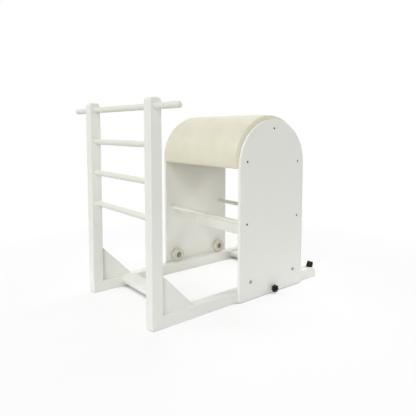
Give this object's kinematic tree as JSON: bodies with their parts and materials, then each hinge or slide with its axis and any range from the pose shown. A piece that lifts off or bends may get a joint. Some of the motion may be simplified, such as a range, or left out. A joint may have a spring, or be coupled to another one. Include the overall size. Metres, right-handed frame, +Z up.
{
  "type": "pilates ladder barrel",
  "caption": "Ladder frame on two floor rails, with a half-round padded barrel that rolls along the rails on wheels and is clamped with side knobs.",
  "frame": {"origin": "on the floor, under the middle of the frame's length and width", "axes": "+X along the rails from the ladder towards the barrel, +Y across the ladder, +Z up"},
  "size_m": [1.19, 1.064, 1.06],
  "materials": {
    "frame_lacquer": "white lacquer on solid wood, satin",
    "rung_lacquer": "white lacquer on turned wood, satin",
    "panel_lacquer": "white lacquer on board, satin",
    "pad_upholstery": "matt cream synthetic leather over foam",
    "bare_plywood": "bare bending plywood",
    "bare_wood": "bare planed softwood",
    "wheel_polyurethane": "translucent cream polyurethane",
    "knob_plastic": "black moulded nylon",
    "stop_rubber": "black moulded rubber",
    "zinc_steel": "bright zinc-plated steel",
    "black_steel": "black oxide steel"
  },
  "bodies": {
    "frame": {"left_post": "frame_lacquer", "right_post": "frame_lacquer", "left_rail": "frame_lacquer", "right_rail": "frame_lacquer", "left_gusset": "panel_lacquer", "right_gusset": "panel_lacquer", "front_cross_board": "panel_lacquer", "rear_cross_board": "panel_lacquer", "top_rung": "rung_lacquer", "rung_2": "rung_lacquer", "rung_3": "rung_lacquer", "rung_4": "rung_lacquer", "left_end_stop": "stop_rubber", "right_end_stop": "stop_rubber", "left_end_stop_screw": "zinc_steel", "right_end_stop_screw": "zinc_steel"},
    "carriage": {"left_side_panel": "panel_lacquer", "right_side_panel": "panel_lacquer", "left_screw_top_batten": "black_steel", "left_screw_front_batten": "black_steel", "left_screw_rear_batten": "black_steel", "left_screw_front_dowel": "black_steel", "left_screw_rear_dowel": "black_steel", "right_screw_top_batten": "black_steel", "right_screw_front_batten": "black_steel", "right_screw_rear_batten": "black_steel", "right_screw_front_dowel": "black_steel", "right_screw_rear_dowel": "black_steel", "front_spreader_dowel": "rung_lacquer", "rear_spreader_dowel": "rung_lacquer", "stretcher_board": "panel_lacquer", "barrel_pad": "pad_upholstery", "barrel_shell": "bare_plywood", "top_batten": "bare_wood", "front_batten": "bare_wood", "rear_batten": "bare_wood", "left_front_axle_spacer": "zinc_steel", "left_rear_axle_spacer": "zinc_steel", "right_front_axle_spacer": "zinc_steel", "right_rear_axle_spacer": "zinc_steel", "left_front_axle_bolt": "zinc_steel", "left_rear_axle_bolt": "zinc_steel", "right_front_axle_bolt": "zinc_steel", "right_rear_axle_bolt": "zinc_steel", "left_front_axle_nut": "zinc_steel", "left_rear_axle_nut": "zinc_steel", "right_front_axle_nut": "zinc_steel", "right_rear_axle_nut": "zinc_steel", "left_clamp_insert": "zinc_steel", "right_clamp_insert": "zinc_steel"},
    "left_front_roller": {"left_front_wheel": "wheel_polyurethane", "left_front_bearing": "zinc_steel"},
    "left_rear_roller": {"left_rear_wheel": "wheel_polyurethane", "left_rear_bearing": "zinc_steel"},
    "right_front_roller": {"right_front_wheel": "wheel_polyurethane", "right_front_bearing": "zinc_steel"},
    "right_rear_roller": {"right_rear_wheel": "wheel_polyurethane", "right_rear_bearing": "zinc_steel"},
    "left_knob": {"left_clamp_knob": "knob_plastic"},
    "right_knob": {"right_clamp_knob": "knob_plastic"}
  },
  "joints": [
    {"name": "carriage_slide", "type": "slide", "parent": "frame", "child": "carriage", "axis": [1, 0, 0], "range_m": [-0.33, 0.168]},
    {"name": "left_front_roll", "type": "hinge", "parent": "carriage", "child": "left_front_roller", "pos_m": [0, 0.325, 0.102], "axis": [0, 1, 0], "range_deg": [-460, 240]},
    {"name": "left_rear_roll", "type": "hinge", "parent": "carriage", "child": "left_rear_roller", "pos_m": [0.344, 0.325, 0.102], "axis": [0, 1, 0], "range_deg": [-460, 240]},
    {"name": "right_front_roll", "type": "hinge", "parent": "carriage", "child": "right_front_roller", "pos_m": [0, -0.325, 0.102], "axis": [0, 1, 0], "range_deg": [-460, 240]},
    {"name": "right_rear_roll", "type": "hinge", "parent": "carriage", "child": "right_rear_roller", "pos_m": [0.344, -0.325, 0.102], "axis": [0, 1, 0], "range_deg": [-460, 240]},
    {"name": "left_knob_turn", "type": "hinge", "parent": "carriage", "child": "left_knob", "pos_m": [0.172, 0.362, 0.03], "axis": [0, 1, 0], "range_deg": [0, 720]},
    {"name": "right_knob_turn", "type": "hinge", "parent": "carriage", "child": "right_knob", "pos_m": [0.172, -0.362, 0.03], "axis": [0, -1, 0], "range_deg": [0, 720]}
  ],
  "couplings": [
    {"joint": "left_front_roll", "follows": "carriage_slide", "rad_per_m": 23.809},
    {"joint": "left_rear_roll", "follows": "carriage_slide", "rad_per_m": 23.809},
    {"joint": "right_front_roll", "follows": "carriage_slide", "rad_per_m": 23.809},
    {"joint": "right_rear_roll", "follows": "carriage_slide", "rad_per_m": 23.809}
  ]
}
